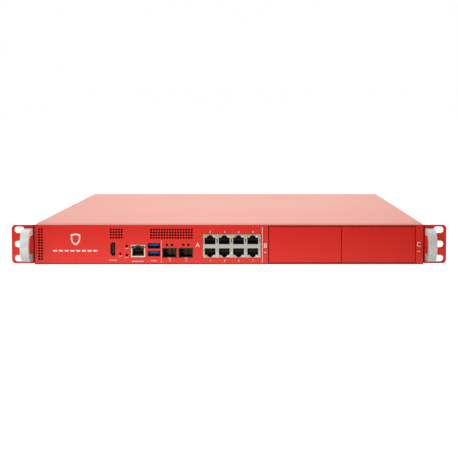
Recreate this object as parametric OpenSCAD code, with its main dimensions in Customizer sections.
// Rack-mount firewall appliance, one rack unit high.
// Millimetres. X to the right seen from the front, -Y towards the front, +Z up.
// The origin is on the underside, in the middle of the overall width and depth.

/* [Enclosure] */
// Width of the enclosure between the rack ears
body_w = 432; // [430:1:436]
// Depth from the front panel's face to the rear panel's face
body_d = 450; // [440:1:460]
// Height of the enclosure
body_h = 44; // [44:0.5:46]
// Thickness of the chassis and cover sheet
sheet_t = 1.2; // [1:0.1:1.5]
// Thickness of the front panel
panel_t = 1.5; // [1.2:0.1:2]
// Depth of the front panel's return flange on top
lip_d = 18.5; // [12:0.5:20]
// Gap between the return flange and the top cover
seam = 0.2; // [0.2:0.1:0.6]

/* [Rack ears and handles] */
// Width over both ears, the 19 inch standard
rack_w = 482.6; // [482.6:0.1:483.4]
// Sheet thickness of an ear
ear_t = 2; // [1.5:0.1:2.5]
// Outside radius of an ear's bend
bend_r = 2.4; // [2:0.1:2.5]
// How far the ear's face is set back from the front panel's face
ear_setback = 1.5; // [1:0.1:2]
// Distance between the left and right slot centres
slot_span = 465.1; // [464:0.1:466]
// Rise from the middle slot to an outer slot
slot_rise = 15.875; // [15.8:0.025:15.9]
// Half the height of a slot
slot_r = 3.6; // [3.2:0.1:3.8]
// Length of a slot, end to end
slot_l = 11.2; // [10:0.1:12]
// Width of a handle
handle_w = 9.2; // [8:0.1:9.4]
// How far a handle stands out from its ear
handle_out = 27; // [24:0.5:30]
// Height of a handle
handle_h = 34.8; // [34:0.2:36]
// Thickness of the handle's bow
handle_t = 6; // [5:0.1:7]

/* [Ports] */
// Spacing of the network ports
lan_pitch = 15.8; // [15.75:0.05:15.85]
// Width of a jack opening
jack_w = 12; // [11.8:0.1:12.2]
// How far a connector's mouth is set back from the panel's face
port_setback = 0.4; // [0.2:0.1:0.8]
// Centre of the console jack across the width
console_x = -101; // [-101.6:0.1:-100.6]
// Centre of the USB sockets across the width
usb_x = -83.3; // [-83.8:0.1:-82.9]
// Centres of the two fibre cages across the width
sfp_x = [-66.15, -48.05];
// Underside of the connectors, the top of the mainboard
board_z = 7.3; // [7.1:0.1:7.5]

/* [Ventilation] */
// Radius of a vent hole
vent_r = 1.15; // [0.8:0.05:1.2]
// Spacing of the vent holes
vent_pitch = 3; // [2.8:0.05:3.1]

/* [Expansion bays] */
// Left edge of the bay opening
bay_x0 = 43.4; // [43.4:0.1:44]
// Right edge of the bay opening
bay_x1 = 207.3; // [207:0.1:207.6]
// Depth of the bay frame
bay_d = 160; // [140:1:165]
// Height of a blank cover
blank_h = 40.5; // [39:0.1:40.9]

/* [Fans] */
// Outer size of a system fan
fan_s = 40; // [38:1:40]
// Depth of a system fan
fan_d = 28; // [20:1:28]
// Radial clearance of a fan shaft in its bearing
bearing_gap = 0.05; // [0.03:0.01:0.08]
// Number of blades on a fan rotor
blades = 7; // [5:1:9]

/* [Power supplies] */
// Width of a power supply
psu_w = 73.5; // [70:0.5:73.5]
// Height of a power supply
psu_h = 38.6; // [36:0.2:38.6]
// Length of a power supply's case
psu_l = 185; // [170:1:190]

/* [Hidden] */

$fn = 40;
hw = body_w / 2;            // half width of the enclosure
yf = -body_d / 2;           // face of the front panel
yr = body_d / 2;            // face of the rear panel
yp = yf + panel_t;          // back of the front panel
ys = yf + port_setback;     // mouths of the connectors
ye = yf + ear_setback;      // face of the ears
top_z = body_h - sheet_t;   // underside of the cover
slot_x = slot_span / 2;     // centre of the slots
slot_z = body_h / 2 + 0.3;  // middle slot's height
grip_x = hw + 6.2;          // middle of a handle
lan_x0 = -21.15;            // first network port's centre
lan_up = 22.2;              // foot of the upper row's openings
lan_low = 17.75;            // top of the lower row's openings
lan_l = -28.95;             // left side of the network jack block
lan_r = 34.95;              // right side of the network jack block
lan_t = 33.1;               // top of the network jack block
console_b = 7.7;            // foot of the console jack
console_t = 21.5;           // top of the console jack
usb_z = [11.85, 20.45];     // centres of the USB sockets
cage_w = 8;                 // half width of a fibre cage
cage_t = 18.2;              // top of the fibre cages
reset_x = -120.65;
reset_z = 11.7;
lamp_x = -113.5;
lamp_z = [10.2, 20.3];
fibre_lamp_z = 21.6;
bay_split = 124.75;         // middle of the gap between the two blank covers
tab_x = hw - 4.4;           // cover screws from the middle
tab_y = [yf + 35, 10, yr - 14];
fan_x = [-188, -146, -104, -62];
fan_y0 = yr - sheet_t - fan_d;
fan_z = 22;
psu_x = [93.5, 169.5];
psu_z = 21.8;
psu_y0 = yr - psu_l;
switch_x = -16;
switch_z = 22;
stud_x = 28;
posts = [[-200, -190], [-200, -60], [-200, 95], [30, 95], [30, -120], [-60, 95],
         [-146, -136], [-74, -136], [-146, -64], [-74, -64],
         [64, -40], [200, -40], [64, 18], [200, 18]];

// Box from its low corner to its high corner
module block(a, b) { translate(a) cube([b[0] - a[0], b[1] - a[1], b[2] - a[2]]); }
module rod_x(x0, x1, y, z, r) { translate([x0, y, z]) rotate([0, 90, 0]) cylinder(r = r, h = x1 - x0); }
module rod_y(x, y0, y1, z, r) { translate([x, y0, z]) rotate([-90, 0, 0]) cylinder(r = r, h = y1 - y0); }
module rod_z(x, y, z0, z1, r) { translate([x, y, z0]) cylinder(r = r, h = z1 - z0); }
// A flat outline in X and Z, given depth along Y
module plate_y(y0, y1) { translate([0, y1, 0]) rotate([90, 0, 0]) linear_extrude(y1 - y0) children(); }
// A flat outline in Y and Z, given width along X
module plate_x(x0, x1) { translate([x0, 0, 0]) rotate([90, 0, 90]) linear_extrude(x1 - x0) children(); }
module rect(x0, z0, x1, z1) { translate([x0, z0]) square([x1 - x0, z1 - z0]); }
module round_rect(x0, z0, x1, z1, r) {
  rect(x0 + r, z0, x1 - r, z1);
  rect(x0, z0 + r, x1, z1 - r);
  for (x = [x0 + r, x1 - r], z = [z0 + r, z1 - r]) translate([x, z]) circle(r = r);
}
// Rows and columns of vent holes, from the top left one
module vents(x0, z0, cols, rows) {
  for (i = [0:cols - 1], j = [0:rows - 1])
    translate([x0 + i * vent_pitch, z0 - j * vent_pitch]) circle(r = vent_r, $fn = 24);
}
// Opening of a modular jack, latch notch upwards, foot at zero
module jack_mouth(g) {
  rect(-jack_w / 2 - g, -g, jack_w / 2 + g, 7.4 + g);
  rect(-3.1 - g, 0, 3.1 + g, 9 + g);
  rect(-1.8 - g, 0, 1.8 + g, 10.2 + g);
}
module each_lan_port() {
  for (i = [0:3]) {
    translate([lan_x0 + i * lan_pitch, lan_up]) children();
    translate([lan_x0 + i * lan_pitch, lan_low]) mirror([0, 1]) children();
  }
}
module video_outline(g) {
  translate([-126.55, 9.8]) polygon([[g, -g], [g, 14.3 + g], [-2.8 - g / 2, 14.3 + g],
           [-4.8 - g, 12.4 + g / 2], [-4.8 - g, 1.9 - g / 2], [-2.8 - g / 2, -g]]);
}

module chassis_base() color([0.72, 0.16, 0.13]) {
  difference() {
    union() {
      block([-hw, yf + 3, 0], [hw, yr, sheet_t]);
      for (s = [-1, 1]) {
        block([s < 0 ? -hw : hw - sheet_t, yp, 0], [s < 0 ? -hw + sheet_t : hw, yr, top_z]);
        for (y = tab_y) block([s < 0 ? -hw : hw - 7.4, y - 7, top_z - sheet_t], [s < 0 ? -hw + 7.4 : hw, y + 7, top_z]);
      }
      for (p = posts) rod_z(p[0], p[1], sheet_t / 2, board_z - 1.6, 3);
    }
    for (p = posts) rod_z(p[0], p[1], 2, board_z, 1.3);
    for (s = [-1, 1], y = tab_y) rod_z(s * tab_x, y, top_z - 3, top_z + 1, 1.5);
    // ear screws and the two rail screw holes of each side
    for (y = [-212, -184], z = [12, 32]) rod_x(-hw - 5, hw + 5, y, z, 1.55);
    for (y = [40, 180]) rod_x(-hw - 5, hw + 5, y, 22, 2);
    // side vents
    for (i = [0:11], j = [0:3]) rod_x(-hw - 5, hw + 5, -150 + i * 5, 14.5 + j * 5, 1.5);
  }
}

module front_panel() color([0.86, 0.2, 0.17]) {
  plate_y(yf, yp) difference() {
    rect(-hw + 0.5, 1.1, hw - 0.5, body_h);
    vents(-210.6, 38.9, 2, 12);
    vents(-131, 38.7, 5, 4);
    vents(-86.45, 38.5, 16, 4);
    video_outline(0.3);
    rect(console_x - 8.3, console_b - 0.3, console_x + 8.3, console_t + 0.3);
    for (z = usb_z) rect(usb_x - 6.9, z - 3.1, usb_x + 6.9, z + 3.1);
    for (x = sfp_x) rect(x - cage_w - 0.2, board_z - 0.2, x + cage_w + 0.2, cage_t + 0.2);
    rect(lan_l - 0.3, board_z - 0.2, lan_r + 0.3, lan_t + 0.3);
    translate([reset_x, reset_z]) circle(r = 1.15);
    for (z = lamp_z) translate([lamp_x, z]) circle(r = 1.2);
    for (x = sfp_x, dx = [-2.8, 2.9]) translate([x + dx, fibre_lamp_z]) circle(r = 1.2);
    rect(bay_x0, 0, bay_x1, top_z - 0.5);
  }
  block([-hw + 0.5, yp - 0.5, top_z], [hw - 0.5, yp + lip_d, body_h]);
}

module rear_panel() color([0.72, 0.16, 0.13])
  plate_y(yr - sheet_t, yr) difference() {
    rect(-hw + sheet_t, sheet_t, hw - sheet_t, top_z);
    for (x = fan_x) {
      translate([x, fan_z]) circle(r = 19);
      for (dx = [-16, 16], dz = [-16, 16]) translate([x + dx, fan_z + dz]) circle(r = 2);
    }
    rect(switch_x - 6.6, switch_z - 9.7, switch_x + 6.6, switch_z + 9.7);
    translate([stud_x, 14]) circle(r = 2.6);
    vents(8, 37, 12, 4);
    for (x = psu_x) rect(x - psu_w / 2 - 0.4, psu_z - psu_h / 2 - 0.35, x + psu_w / 2 + 0.4, psu_z + psu_h / 2 + 0.35);
  }

module top_cover() color([0.86, 0.2, 0.17])
  difference() {
    union() {
      block([-hw, yp + lip_d + seam, top_z], [hw, yr, body_h]);
      for (s = [-1, 1], y = [[yf + 45, -2], [22, yr - 26]])
        block([s < 0 ? -hw + 1.5 : hw - 2.7, y[0], top_z - 1.4], [s < 0 ? -hw + 2.7 : hw - 1.5, y[1], top_z + 0.5]);
    }
    for (s = [-1, 1], y = tab_y) {
      rod_z(s * tab_x, y, top_z - 1, body_h + 1, 1.65);
      translate([s * tab_x, y, body_h - 1.05]) cylinder(r1 = 1.65, r2 = 2.7, h = 1.06);
    }
  }

module cover_screws() color([0.25, 0.25, 0.26])
  for (s = [-1, 1], y = tab_y) difference() {
    union() {
      rod_z(s * tab_x, y, top_z - 4, body_h - 0.9, 1.45);
      translate([s * tab_x, y, body_h - 1.1]) cylinder(r1 = 1.45, r2 = 2.5, h = 1.05);
    }
    for (a = [0, 90]) translate([s * tab_x, y, body_h]) rotate([0, 0, a]) cube([2.6, 0.6, 1], center = true);
  }

module ear(s) {
  difference() {
    union() {
      plate_y(ye, ye + ear_t) scale([1, 1]) {
        e = rack_w / 2;
        a = s < 0 ? -e : hw;
        b = s < 0 ? -hw : e;
        rect(s < 0 ? a + 4 : a, 0.9, s < 0 ? b : b - 4, body_h - 0.3);
        rect(a, 4.9, b, body_h - 4.3);
        for (z = [4.9, body_h - 4.3]) translate([s * (e - 4), z]) circle(r = 4);
      }
      block([s < 0 ? -hw - ear_t : hw, ye + 0.5, 3], [s < 0 ? -hw : hw + ear_t, ye + 52, body_h - 3]);
    }
    // the outside of the bend
    difference() {
      block([s < 0 ? -hw - bend_r : hw - 1, ye - 1, -1], [s < 0 ? -hw + 1 : hw + bend_r, ye + bend_r, body_h + 1]);
      rod_z(s * (hw + bend_r), ye + bend_r, -2, body_h + 2, bend_r);
    }
    for (k = [-1, 0, 1]) plate_y(ye - 1, ye + ear_t + 1) translate([s * slot_x, slot_z + k * slot_rise]) {
      square([slot_l - 2 * slot_r, 2 * slot_r], center = true);
      for (d = [-1, 1]) translate([d * (slot_l / 2 - slot_r), 0]) circle(r = slot_r);
    }
    for (dz = [-14.4, 14.4]) rod_y(s * grip_x, ye - 1, ye + ear_t + 1, slot_z + dz, 1.7);
    for (y = [-212, -184], z = [12, 32]) rod_x(s < 0 ? -hw - 5 : hw - 1, s < 0 ? -hw + 1 : hw + 5, y, z, 1.7);
  }
}
module ear_left() color([0.84, 0.19, 0.16]) ear(-1);
module ear_right() color([0.84, 0.19, 0.16]) ear(1);

module ear_screws() color([0.3, 0.3, 0.31])
  for (s = [-1, 1], y = [-212, -184], z = [12, 32]) difference() {
    union() {
      rod_x(s < 0 ? -hw - ear_t - 0.5 : hw - 2.5, s < 0 ? -hw + 2.5 : hw + ear_t + 0.5, y, z, 1.5);
      rod_x(s < 0 ? -hw - ear_t - 1.8 : hw + ear_t, s < 0 ? -hw - ear_t : hw + ear_t + 1.8, y, z, 2.9);
    }
    for (a = [0, 90]) translate([s * (hw + ear_t + 1.8), y, z]) rotate([a, 0, 0]) cube([1.8, 3.4, 0.7], center = true);
  }

// Side outline of a bow handle: straight feet, then a round bow
module bow(r, half) {
  c = handle_out - (18.8 + 8.2) + 8.2;
  intersection() {
    rect(-handle_out - 1, -half, 0, half);
    union() {
      rect(-c, -half, 0, half);
      translate([-c, 0]) circle(r = r, $fn = 96);
    }
  }
}
module handle(s) difference() {
  plate_x(s * grip_x - handle_w / 2, s * grip_x + handle_w / 2) translate([ye, slot_z]) difference() {
    bow(18.8, handle_h / 2);
    translate([0.01, 0]) bow(18.8 - handle_t, handle_h / 2 - 7);
  }
  for (dz = [-14.4, 14.4]) rod_y(s * grip_x, ye - 6, ye + 1, slot_z + dz, 1.55);
}
module handle_left() color([0.8, 0.81, 0.8]) handle(-1);
module handle_right() color([0.8, 0.81, 0.8]) handle(1);

module handle_screws() color([0.3, 0.3, 0.31])
  for (s = [-1, 1], dz = [-14.4, 14.4]) difference() {
    union() {
      rod_y(s * grip_x, ye - 5, ye + ear_t + 0.5, slot_z + dz, 1.5);
      rod_y(s * grip_x, ye + ear_t, ye + ear_t + 1.8, slot_z + dz, 2.8);
    }
    for (a = [0, 90]) translate([s * grip_x, ye + ear_t + 1.8, slot_z + dz]) rotate([0, a, 0]) cube([3.4, 1.8, 0.7], center = true);
  }

module mainboard() color([0.05, 0.24, 0.14])
  difference() {
    block([-207, yp + 4, board_z - 1.6], [40, 110, board_z]);
    for (i = [0:9]) rod_z(posts[i][0], posts[i][1], 0, 20, 1.6);
  }

module board_screws() color([0.75, 0.75, 0.76])
  for (i = [0:13]) {
    z = i > 5 && i < 10 ? board_z + 7.2 : board_z;
    rod_z(posts[i][0], posts[i][1], 3, z + 0.5, 1.25);
    rod_z(posts[i][0], posts[i][1], z, z + 1.9, 2.8);
  }

module processor() color([0.7, 0.7, 0.7]) {
  block([-130, -120, board_z], [-90, -80, board_z + 2]);
  block([-126, -116, board_z + 1.9], [-94, -84, board_z + 3.4]);
}

module heatsink() color([0.75, 0.76, 0.78])
  difference() {
    union() {
      block([-150, -140, board_z + 3.4], [-70, -60, board_z + 7.2]);
      for (i = [0:19]) block([-149.5 + i * 4.1, -140, board_z + 7], [-148.5 + i * 4.1, -60, 37]);
    }
    for (i = [6:9]) {
      rod_z(posts[i][0], posts[i][1], 0, 20, 1.7);
      rod_z(posts[i][0], posts[i][1], board_z + 7.2, 40, 3.6);
    }
  }

module memory_sockets() color([0.08, 0.08, 0.09])
  for (x = [-38, -26]) difference() {
    block([x - 3.2, -170, board_z], [x + 3.2, -28, board_z + 8]);
    block([x - 0.75, -165.9, board_z + 2], [x + 0.75, -32.1, board_z + 9]);
  }

module memory_modules() color([0.06, 0.3, 0.16])
  for (x = [-38, -26]) {
    block([x - 0.65, -165.6, board_z + 2.2], [x + 0.65, -32.4, 38.4]);
    for (i = [0:7], s = [-1, 1])
      block([s < 0 ? x - 1.7 : x + 0.6, -162 + i * 16.2, 20], [s < 0 ? x - 0.6 : x + 1.7, -149 + i * 16.2, 32]);
  }

module coin_cell() color([0.8, 0.8, 0.79])
  rod_z(12, -40, board_z + 0.8, board_z + 4, 10);

module board_components() color([0.12, 0.12, 0.13]) {
  for (p = [[-172, -150, 25], [-172, -100, 21], [-10, -184, 15], [14, -184, 15], [-172, -20, 30], [-100, 30, 34], [-20, 40, 25]])
    block([p[0] - p[2] / 2, p[1] - p[2] / 2, board_z], [p[0] + p[2] / 2, p[1] + p[2] / 2, board_z + 2.2]);
  for (i = [0:6]) rod_z(-146 + i * 11.5, -44, board_z, board_z + 12, 4);
  for (i = [0:5]) block([-146 + i * 13, -32, board_z], [-135.5 + i * 13, -21.5, board_z + 8]);
  for (i = [0:4]) rod_z(-190 + i * 11.5, 60, board_z, board_z + 16, 4.5);
  rod_z(12, -40, board_z, board_z + 0.8, 11);
  block([4, -69.8, board_z], [28, -62, board_z + 5.5]);
  rod_z(16, -146, board_z, board_z + 3.2, 2.4);
}

module storage_card() color([0.05, 0.2, 0.12]) {
  block([5, -150, board_z + 3.2], [27, -70, board_z + 4]);
  for (y = [-140, -118, -96]) block([9, y, board_z + 3.9], [23, y + 16, board_z + 5.3]);
}

module lan_jack_shell() color([0.72, 0.71, 0.67])
  difference() {
    block([lan_l, ys, board_z], [lan_r, ys + 25.6, lan_t]);
    block([lan_l + 0.4, ys + 0.5, board_z + 0.4], [lan_r - 0.4, ys + 27, lan_t - 0.4]);
    plate_y(ys - 1, ys + 1) each_lan_port() {
      jack_mouth(0);
      for (s = [-1, 1]) rect(s * 4.7 - 1.4, 7.7, s * 4.7 + 1.4, 9.9);
    }
  }

module lan_jack_inserts() color([0.07, 0.07, 0.08])
  difference() {
    block([lan_l + 0.45, ys + 0.55, board_z + 0.45], [lan_r - 0.45, ys + 24, lan_t - 0.45]);
    plate_y(ys, ys + 15) each_lan_port() jack_mouth(0.05);
    plate_y(ys, ys + 3) each_lan_port() for (s = [-1, 1]) rect(s * 4.7 - 1.4, 7.7, s * 4.7 + 1.4, 9.9);
  }

module lan_port_lights() color([0.75, 0.85, 0.3])
  plate_y(ys + 0.1, ys + 2.8) each_lan_port() for (s = [-1, 1]) rect(s * 4.7 - 1.35, 7.75, s * 4.7 + 1.35, 9.85);

module console_shell() color([0.78, 0.74, 0.68])
  difference() {
    union() {
      block([console_x - 8, ys, console_b], [console_x + 8, ys + 21, console_t]);
      block([console_x - 8, ys + 3, board_z], [console_x + 8, ys + 20, console_b + 0.3]);
    }
    block([console_x - 7.6, ys + 0.5, console_b + 0.4], [console_x + 7.6, ys + 22, console_t - 0.4]);
    plate_y(ys - 1, ys + 1) {
      rect(console_x - 6.6, 9.2, console_x + 6.6, 20.6);
      rect(console_x - 2.4, 19, console_x + 2.4, 21.05);
    }
  }

module console_insert() color([0.85, 0.82, 0.76])
  difference() {
    block([console_x - 7.55, ys + 1.6, console_b + 0.45], [console_x + 7.55, ys + 20, console_t - 0.45]);
    plate_y(ys, ys + 15) translate([console_x, 9.8]) jack_mouth(0.05);
  }

module usb_shells() color([0.75, 0.75, 0.74])
  for (z = usb_z) difference() {
    block([usb_x - 6.6, ys, z - 2.8], [usb_x + 6.6, ys + 18, z + 2.8]);
    block([usb_x - 6.2, ys - 1, z - 2.4], [usb_x + 6.2, ys + 17.4, z + 2.4]);
  }

module usb_tongues() color([0.1, 0.32, 0.62])
  for (z = usb_z) block([usb_x - 5.6, ys + 1.2, z + 0.3], [usb_x + 5.6, ys + 17.4, z + 2.1]);

module video_connector() color([0.7, 0.7, 0.69]) {
  difference() {
    plate_y(ys, ys + 12) video_outline(0);
    plate_y(ys - 1, ys + 11.4) video_outline(-0.4);
  }
  block([-129.35, ys + 1.2, 11.9], [-128.15, ys + 11.6, 22]);
}

module fibre_cages() color([0.6, 0.55, 0.45])
  for (x = sfp_x) difference() {
    block([x - cage_w, ys, board_z], [x + cage_w, ys + 48.5, cage_t]);
    block([x - cage_w + 0.4, ys - 1, board_z + 0.4], [x + cage_w - 0.4, ys + 48, cage_t - 0.4]);
  }

module fibre_connectors() color([0.1, 0.1, 0.1])
  for (x = sfp_x) difference() {
    block([x - 5.6, ys + 38, board_z + 0.4], [x + 5.6, ys + 48, 14]);
    block([x - 4.6, ys + 37, 9.9], [x + 4.6, ys + 44, 11.5]);
  }

// A clear rod behind the panel with a leg down to the mainboard
module light_pipe(x, z, l) {
  rod_y(x, yf + 2, yf + l, z, 1);
  block([x - 0.9, yf + l - 2, board_z + 0.3], [x + 0.9, yf + l, z + 0.5]);
}
module light_pipes() color([0.88, 0.92, 0.9]) {
  light_pipe(lamp_x, lamp_z[0], 11);
  light_pipe(lamp_x, lamp_z[1], 17);
  for (x = sfp_x, dx = [-2.8, 2.9]) light_pipe(x + dx, fibre_lamp_z, 54);
}

module reset_switch() color([0.1, 0.1, 0.11])
  difference() {
    block([reset_x - 3.2, yf + 8.5, board_z], [reset_x + 3.2, yf + 14, 15.1]);
    rod_y(reset_x, yf + 8, yf + 12, reset_z, 1.65);
  }

module reset_button() color([0.2, 0.2, 0.2]) {
  rod_y(reset_x, yf + 4.6, yf + 11.4, reset_z, 1.6);
  rod_y(reset_x, yf + 3.4, yf + 5, reset_z, 1.2);
}

module bay_frame() color([0.66, 0.67, 0.68])
  difference() {
    block([bay_x0 - 1.2, yf + 3.1, 1.3], [bay_x1 + 1.1, yp + bay_d, 41.3]);
    for (x = [[bay_x0 - 0.2, bay_split - 0.5], [bay_split + 0.5, bay_x1 - 0.1]]) block([x[0], yp, 2.4], [x[1], yp + bay_d + 1, 40.3]);
  }

module bay_backplane() color([0.05, 0.24, 0.14]) {
  block([bay_x0 + 4, yp + bay_d, 4], [bay_x1 - 4, yp + bay_d + 1.6, 38]);
  for (x = [84, 166]) block([x - 22, yp + bay_d - 8, 12], [x + 22, yp + bay_d + 0.2, 24]);
}

// A blank cover: a face plate with a shallow tray that guides it in the bay
module blank(x0, x1) {
  block([x0, yf + 1, 1.1], [x1, yf + 2.6, 1.1 + blank_h]);
  difference() {
    block([x0 + 1, yf + 2.4, 3], [x1 - 1, yf + 34, 37]);
    block([x0 + 2, yf + 2.6, 4], [x1 - 2, yf + 40, 40]);
  }
}
module slot_blank_b() color([0.83, 0.19, 0.16]) blank(44.1, bay_split - 0.35);
module slot_blank_c() color([0.8, 0.18, 0.15]) blank(bay_split + 0.35, 206.9);

module fan_frames() color([0.09, 0.09, 0.1])
  for (x = fan_x) difference() {
    union() {
      difference() {
        plate_y(fan_y0, fan_y0 + fan_d) round_rect(x - fan_s / 2, fan_z - fan_s / 2, x + fan_s / 2, fan_z + fan_s / 2, 3);
        rod_y(x, fan_y0 - 1, fan_y0 + fan_d + 1, fan_z, 18.9);
      }
      for (a = [30, 150, 270]) translate([x, fan_y0 + fan_d - 1.5, fan_z]) rotate([0, a, 0]) translate([12, 0, 0]) cube([15, 3, 2], center = true);
      rod_y(x, fan_y0 + fan_d - 3, fan_y0 + fan_d, fan_z, 9.4);
      rod_y(x, fan_y0 + 5, fan_y0 + fan_d - 2, fan_z, 3.4);
    }
    rod_y(x, fan_y0, fan_y0 + fan_d - 1, fan_z, 1.5 + bearing_gap);
    for (dx = [-16, 16], dz = [-16, 16]) rod_y(x + dx, fan_y0 - 1, fan_y0 + fan_d + 1, fan_z + dz, 1.75);
  }

// A rotor: hub cup, blades and shaft
module rotor(x, z, y0, y1, rh, rt) {
  difference() {
    union() {
      rod_y(x, y0, y1, z, rh);
      intersection() {
        rod_y(x, y0 + 0.5, y1 - 0.5, z, rt);
        for (i = [0:blades - 1]) translate([x, (y0 + y1) / 2, z]) rotate([0, i * 360 / blades + 7, 0])
          translate([(rh + rt) / 2, 0, 0]) rotate([40, 0, 0]) cube([rt - rh + 2, (y1 - y0) * 1.25, 0.9], center = true);
      }
    }
    rod_y(x, y0 + 1.5, y1 + 1, z, rh - 1);
  }
  rod_y(x, y0 + 1, y1 + 1.5, z, 1.5);
}
module fan_rotor(i) rotor(fan_x[i], fan_z, fan_y0 + 2, fan_y0 + fan_d - 4.5, 9.2, 18.3);
module fan_rotor_1() color([0.14, 0.14, 0.15]) fan_rotor(0);
module fan_rotor_2() color([0.14, 0.14, 0.15]) fan_rotor(1);
module fan_rotor_3() color([0.14, 0.14, 0.15]) fan_rotor(2);
module fan_rotor_4() color([0.14, 0.14, 0.15]) fan_rotor(3);

module fan_guards() color([0.75, 0.75, 0.76])
  for (x = fan_x) plate_y(yr, yr + 1.6) translate([x, fan_z]) {
    for (r = [6, 10.5, 15, 19]) difference() { circle(r = r + 0.7); circle(r = r - 0.7); }
    for (a = [45, 135]) rotate(a) difference() {
      square([45.2, 1.4], center = true);
      for (d = [-22.63, 22.63]) translate([d, 0]) circle(r = 2);
    }
    for (dx = [-16, 16], dz = [-16, 16]) translate([dx, dz]) difference() { circle(r = 3.4); circle(r = 1.9); }
  }

module fan_screws() color([0.3, 0.3, 0.31])
  for (x = fan_x, dx = [-16, 16], dz = [-16, 16]) difference() {
    union() {
      rod_y(x + dx, yr - 12, yr + 1.8, fan_z + dz, 1.6);
      rod_y(x + dx, yr + 1.6, yr + 3.2, fan_z + dz, 3);
    }
    for (a = [0, 90]) translate([x + dx, yr + 3.2, fan_z + dz]) rotate([0, a, 0]) cube([3.6, 1.8, 0.7], center = true);
  }

module power_board() color([0.05, 0.24, 0.14])
  difference() {
    union() {
      block([56, -52, board_z - 1.6], [206.5, 36.5, board_z]);
      for (x = psu_x) block([x - 21, 24, board_z - 0.1], [x + 21, 36.5, 17]);
      for (i = [0:3]) block([90 + i * 24, -30, board_z - 0.1], [106 + i * 24, -14, 16]);
    }
    for (i = [10:13]) rod_z(posts[i][0], posts[i][1], 0, 20, 1.6);
  }

module power_harness() color([0.1, 0.1, 0.11]) {
  block([14, -14, board_z], [26, 20, board_z + 12]);
  block([67.6, -14, board_z], [78, 20, board_z + 12]);
  for (i = [0:5]) rod_x(25, 68.6, -10 + i * 5.2, board_z + 6, 1.5);
  // fan leads and their headers
  for (x = fan_x) {
    block([x + 15.2, 98, board_z], [x + 20.6, 104, board_z + 6.4]);
    for (i = [0:2]) rod_y(x + 16.3 + i * 1.6, 103.5, fan_y0, 10.4, 0.7);
  }
  // leads of the power switch
  block([switch_x - 4, 98, board_z], [switch_x + 4, 104, board_z + 10]);
  for (dx = [-2, 2]) rod_y(switch_x + dx, 103.5, yr - 18, 14.6, 0.8);
}

module power_switch_body() color([0.07, 0.07, 0.08])
  difference() {
    union() {
      block([switch_x - 6.4, yr - 18, switch_z - 9.5], [switch_x + 6.4, yr + 0.2, switch_z + 9.5]);
      block([switch_x - 7.6, yr, switch_z - 10.6], [switch_x + 7.6, yr + 1.8, switch_z + 10.6]);
    }
    block([switch_x - 5, yr - 8, switch_z - 8.3], [switch_x + 5, yr + 3, switch_z + 8.3]);
    rod_x(switch_x - 6.2, switch_x + 6.2, yr - 0.8, switch_z, 1.25);
  }

// The rocker, drawn tipped to its off side
module power_rocker() color([0.12, 0.12, 0.13])
  translate([0, yr - 0.8, switch_z]) rotate([-10, 0, 0]) {
    plate_x(switch_x - 4.7, switch_x + 4.7) polygon([[-4.5, -3], [-1, -7.6], [3.2, -7.6], [1.7, 0], [3.2, 7.6], [-1, 7.6], [-4.5, 3]]);
    rod_x(switch_x - 6, switch_x + 6, 0, 0, 1.2);
  }

module ground_stud() color([0.72, 0.6, 0.35]) {
  rod_y(stud_x, yr - 8, yr + 12, 14, 2.5);
  translate([stud_x, yr, 14]) rotate([-90, 0, 0]) cylinder(r = 4.6, h = 4, $fn = 6);
  translate([stud_x, yr - sheet_t - 4, 14]) rotate([-90, 0, 0]) cylinder(r = 4.6, h = 4, $fn = 6);
}

module psu_cage() color([0.66, 0.67, 0.68])
  difference() {
    block([psu_x[0] - psu_w / 2 - 1.25, psu_y0 + 4, 1.3], [psu_x[1] + psu_w / 2 + 1.25, yr - sheet_t - 0.1, 42.3]);
    for (x = psu_x) block([x - psu_w / 2 - 0.45, psu_y0 + 3, psu_z - psu_h / 2 - 0.4], [x + psu_w / 2 + 0.45, yr, psu_z + psu_h / 2 + 0.4]);
  }

// One pull-out power supply: places are measured from its own middle
module psu_case(x) color([0.68, 0.69, 0.7]) {
  z0 = psu_z - psu_h / 2;
  z1 = psu_z + psu_h / 2;
  difference() {
    union() {
      difference() {
        block([x - psu_w / 2, psu_y0, z0], [x + psu_w / 2, yr + 0.2, z1]);
        block([x - psu_w / 2 + 1, psu_y0 + 1, z0 + 1], [x + psu_w / 2 - 1, yr - 0.8, z1 - 1]);
        // grille in front of the fan
        plate_y(yr - 2, yr + 1) translate([x + 16, psu_z]) difference() {
          circle(r = 15);
          circle(r = 6.5);
          difference() { circle(r = 11.4); circle(r = 10.2); }
          for (a = [45, 135]) rotate(a) square([32, 1.6], center = true);
        }
      }
      rod_y(x + 16, yr - 14, yr - 0.5, psu_z, 3);
      difference() {
        rod_y(x + 16, yr - 24, yr - 0.5, psu_z, 17.4);
        rod_y(x + 16, yr - 25, yr, psu_z, 16);
      }
      block([x - 20, psu_y0 - 2.4, 8], [x + 20, psu_y0 + 0.5, 17]);
      for (z = [11, 30.4]) block([x + 32, yr, z], [x + 36.2, yr + 4.4, z + 2.6]);
    }
    rod_y(x + 16, yr - 15, yr - 1.2, psu_z, 1.5 + bearing_gap);
    plate_y(yr - 3, yr + 1) rect(x - 33.4, psu_z - 10, x - 5.6, psu_z + 10);
    // intake holes in the inner end, vents above and below the inlet
    plate_y(psu_y0 - 1, psu_y0 + 2) for (i = [0:14], j = [0:2]) translate([x - 28 + i * 4, 25 + j * 4]) circle(r = 1.4, $fn = 24);
    plate_y(yr - 3, yr + 1) for (i = [0:6], z = [6.4, 37.2]) translate([x - 32 + i * 4, z]) circle(r = 1.3, $fn = 24);
    rod_z(x + 34, yr + 2.2, 10, 34, 1.05);
  }
}
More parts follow.
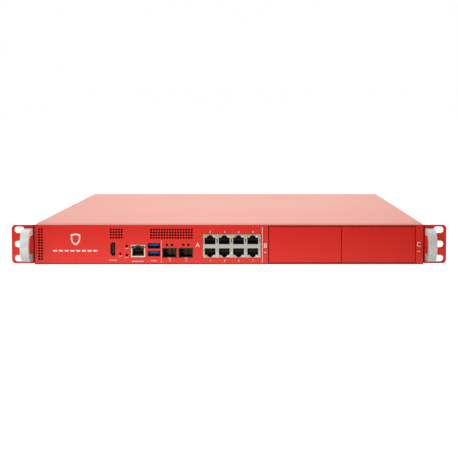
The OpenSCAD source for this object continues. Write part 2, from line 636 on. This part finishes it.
module psu_inlet(x) color([0.06, 0.06, 0.07])
  translate([x - 19.5, 0, psu_z]) {
    difference() {
      union() {
        block([-13.8, yr - 20, -9.9], [13.8, yr + 0.4, 9.9]);
        plate_y(yr + 0.2, yr + 1.6) round_rect(-15.2, -11.2, 15.2, 11.2, 2);
      }
      plate_y(yr - 14, yr + 3) polygon([[-12, -8.2], [12, -8.2], [12, 4.6], [8.4, 8.2], [-8.4, 8.2], [-12, 4.6]]);
    }
    for (p = [[-7, -1.6], [7, -1.6], [0, 2.4]]) block([p[0] - 1, yr - 16, p[1] - 2], [p[0] + 1, yr - 5, p[1] + 2]);
  }
module psu_handle(x) color([0.1, 0.1, 0.11])
  plate_x(x + 13, x + 19) difference() {
    union() {
      round_rect(yr + 6, psu_z - 18.4, yr + 25.5, psu_z + 18.4, 6);
      rect(yr + 0.2, psu_z - 18.4, yr + 14, psu_z + 18.4);
    }
    round_rect(yr + 4, psu_z - 15, yr + 21.5, psu_z + 15, 4);
    rect(yr, psu_z - 15, yr + 12, psu_z + 15);
  }
module psu_latch(x) color([0.12, 0.5, 0.42])
  union() {
    block([x + 32.8, yr + 0.9, 14], [x + 35.2, yr + 15, 30]);
    block([x + 32.8, yr + 13, 16], [x + 36.4, yr + 15, 28]);
    rod_z(x + 34, yr + 2.2, 11.2, 32.8, 1);
  }
module psu_fan_rotor(x) color([0.14, 0.14, 0.15]) rotor(x + 16, psu_z, yr - 22, yr - 4, 6.8, 15.4);

module psu_1_case() psu_case(psu_x[0]);
module psu_1_inlet() psu_inlet(psu_x[0]);
module psu_1_handle() psu_handle(psu_x[0]);
module psu_1_latch() psu_latch(psu_x[0]);
module psu_1_fan_rotor() psu_fan_rotor(psu_x[0]);
module psu_2_case() psu_case(psu_x[1]);
module psu_2_inlet() psu_inlet(psu_x[1]);
module psu_2_handle() psu_handle(psu_x[1]);
module psu_2_latch() psu_latch(psu_x[1]);
module psu_2_fan_rotor() psu_fan_rotor(psu_x[1]);

chassis_base();
front_panel();
rear_panel();
top_cover();
cover_screws();
ear_left();
ear_right();
ear_screws();
handle_left();
handle_right();
handle_screws();
mainboard();
board_screws();
processor();
heatsink();
memory_sockets();
memory_modules();
coin_cell();
board_components();
storage_card();
lan_jack_shell();
lan_jack_inserts();
lan_port_lights();
console_shell();
console_insert();
usb_shells();
usb_tongues();
video_connector();
fibre_cages();
fibre_connectors();
light_pipes();
reset_switch();
reset_button();
bay_frame();
bay_backplane();
slot_blank_b();
slot_blank_c();
fan_frames();
fan_rotor_1();
fan_rotor_2();
fan_rotor_3();
fan_rotor_4();
fan_guards();
fan_screws();
power_board();
power_harness();
power_switch_body();
power_rocker();
ground_stud();
psu_cage();
psu_1_case();
psu_1_inlet();
psu_1_handle();
psu_1_latch();
psu_1_fan_rotor();
psu_2_case();
psu_2_inlet();
psu_2_handle();
psu_2_latch();
psu_2_fan_rotor();
